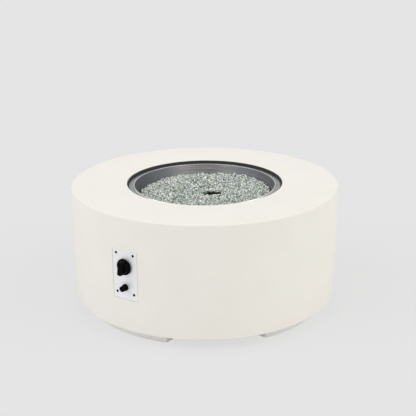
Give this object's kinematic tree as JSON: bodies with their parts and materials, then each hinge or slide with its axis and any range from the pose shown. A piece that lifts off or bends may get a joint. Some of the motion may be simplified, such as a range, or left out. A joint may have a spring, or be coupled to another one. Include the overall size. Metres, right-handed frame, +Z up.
{
  "type": "gas fire pit table",
  "caption": "Round cast-concrete gas fire pit table with a lined fire bowl of glass media, a wall panel with a push-and-turn gas knob and an igniter button, on low block feet.",
  "frame": {"origin": "on the floor, on the drum's axis, at the centre of the four feet", "axes": "+Z up along the drum's axis; -Y is the front, midway between the two front feet, and the control panel faces 38.3 degrees from -Y towards -X"},
  "size_m": [1.0668, 1.0665, 0.483],
  "materials": {
    "concrete": "matte",
    "foot": "matte",
    "zinc_steel": "satin",
    "black_steel": "satin",
    "black_screw": "satin",
    "stainless": "satin",
    "brushed_plate": "satin",
    "brass": "satin",
    "copper": "satin",
    "ceramic": "satin",
    "fire_glass": "gloss",
    "hose_braid": "satin",
    "spring_steel": "satin",
    "knob_plastic": "satin",
    "igniter_plastic": "satin",
    "battery_case": "gloss",
    "wire_sleeve": "matte"
  },
  "bodies": {
    "table": {"drum_shell": "concrete", "foot_front_left": "foot", "foot_front_right": "foot", "foot_back_right": "foot", "foot_back_left": "foot", "foot_bolts": "zinc_steel", "foot_washers": "zinc_steel", "foot_nuts": "zinc_steel", "opening_collar": "black_steel", "collar_screws": "black_screw", "burner_pan": "stainless", "burner_ring": "stainless", "burner_standoffs": "stainless", "burner_locknut": "brass", "ignition_bracket": "stainless", "ignition_hood": "stainless", "hood_screws": "zinc_steel", "electrode_ceramic": "ceramic", "electrode_rod": "stainless", "thermocouple": "copper", "glass_media": "fire_glass", "burner_elbow": "brass", "air_mixer": "brass", "gas_jet": "brass", "burner_hose": "hose_braid", "hose_nuts": "brass", "control_panel": "brushed_plate", "panel_screws": "black_screw", "panel_inserts": "brass", "valve_body": "brass", "inlet_elbow": "brass", "valve_nut": "black_screw", "valve_spring": "spring_steel", "igniter_housing": "igniter_plastic", "igniter_locknut": "igniter_plastic", "igniter_battery": "battery_case", "contact_spring": "spring_steel", "thermocouple_lead": "copper", "igniter_wire": "wire_sleeve"},
    "plunger": {"valve_plunger": "brass"},
    "knob": {"control_knob": "knob_plastic", "valve_stem": "brass"},
    "button": {"igniter_button": "igniter_plastic"}
  },
  "joints": [
    {"name": "knob_push", "type": "slide", "parent": "table", "child": "plunger", "axis": [0.6198, 0.7848, 0], "range_m": [0, 0.004], "stiffness_N_per_m": 800, "springref_m": -0.004, "deforming": ["valve_spring"]},
    {"name": "knob_turn", "type": "hinge", "parent": "plunger", "child": "knob", "pos_m": [-0.32889, -0.41645, 0.2955], "axis": [-0.6198, -0.7848, 0], "range_deg": [0, 180]},
    {"name": "igniter_press", "type": "slide", "parent": "table", "child": "button", "axis": [0.6198, 0.7848, 0], "range_m": [0, 0.004], "stiffness_N_per_m": 600, "springref_m": -0.004, "deforming": ["contact_spring"]}
  ]
}
